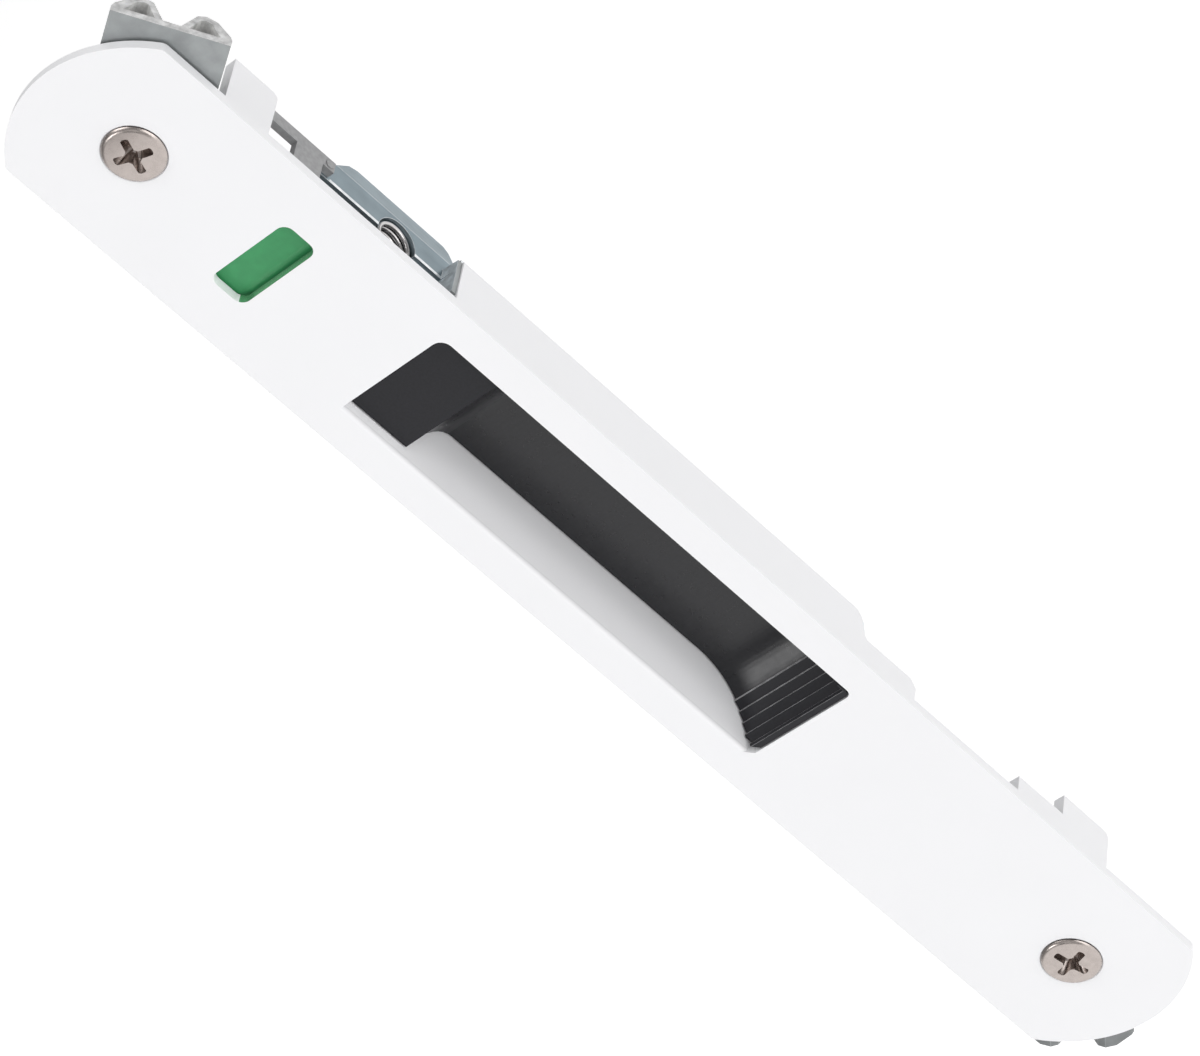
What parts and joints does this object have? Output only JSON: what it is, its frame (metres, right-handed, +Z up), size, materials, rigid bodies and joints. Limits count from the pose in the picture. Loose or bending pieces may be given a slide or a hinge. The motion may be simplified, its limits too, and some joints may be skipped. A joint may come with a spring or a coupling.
{
  "type": "sliding door hook lock",
  "caption": "Long white face plate with a black recessed thumb slider that swings a hook out of its back, with a coloured indicator window and swivelling clamp clips on its fixing screws.",
  "frame": {"origin": "middle of the face plate's seat (back) face, half way between the two fixing screws", "axes": "+Z up the door's edge towards the indicator window, +Y into the door, away from the person who uses the lock, +X across the plate"},
  "size_m": [0.0343, 0.0169, 0.1924],
  "materials": {
    "face_plate": "white powder coat, satin",
    "case": "white powder coat, satin",
    "back_cover": "zinc plated sheet",
    "cover_screws": "zinc plated",
    "thumb_slider": "black, fine grain",
    "slide_carrier": "zinc die casting",
    "carrier_screws": "zinc plated",
    "drive_pin": "turned",
    "indicator_strip": "zinc plated sheet",
    "green_flag": "green",
    "red_flag": "red",
    "hook": "zinc die casting, matte",
    "hook_bracket": "zinc plated sheet, bluish",
    "bracket_screws": "zinc plated",
    "pivot_pin": "turned",
    "torsion_spring": "drawn wire",
    "stay_bars": "die casting, matte",
    "stay_rivets": "zinc plated",
    "detent_spring": "spring strip",
    "face_screws": "nickel plated, satin",
    "upper_clip": "zinc plated sheet",
    "lower_clip": "zinc plated sheet"
  },
  "bodies": {
    "housing": {"face_plate": "face_plate", "case": "case", "back_cover": "back_cover", "cover_screws": "cover_screws", "hook_bracket": "hook_bracket", "bracket_screws": "bracket_screws", "pivot_pin": "pivot_pin", "torsion_spring": "torsion_spring", "stay_bars": "stay_bars", "stay_rivets": "stay_rivets", "detent_spring": "detent_spring", "face_screws": "face_screws"},
    "slider": {"thumb_slider": "thumb_slider", "slide_carrier": "slide_carrier", "carrier_screws": "carrier_screws", "drive_pin": "drive_pin", "indicator_strip": "indicator_strip", "green_flag": "green_flag", "red_flag": "red_flag"},
    "hook": {"hook": "hook"},
    "upper_clip": {"upper_clip": "upper_clip"},
    "lower_clip": {"lower_clip": "lower_clip"}
  },
  "joints": [
    {"name": "slider_travel", "type": "slide", "parent": "housing", "child": "slider", "axis": [0, 0, 1], "range_m": [0, 0.009]},
    {"name": "hook_swing", "type": "hinge", "parent": "housing", "child": "hook", "pos_m": [0, 0.0086, 0.0493], "axis": [-1, 0, 0], "range_deg": [0, 86.4]},
    {"name": "upper_clip_swivel", "type": "hinge", "parent": "housing", "child": "upper_clip", "pos_m": [0, 0.002, 0.08], "axis": [0, 1, 0], "range_deg": [-119.6, 0]},
    {"name": "lower_clip_swivel", "type": "hinge", "parent": "housing", "child": "lower_clip", "pos_m": [0, 0.002, -0.08], "axis": [0, 1, 0], "range_deg": [-97.8, 21.8]}
  ],
  "couplings": [
    {"joint": "hook_swing", "follows": "slider_travel", "rad_per_m": 167.37}
  ]
}
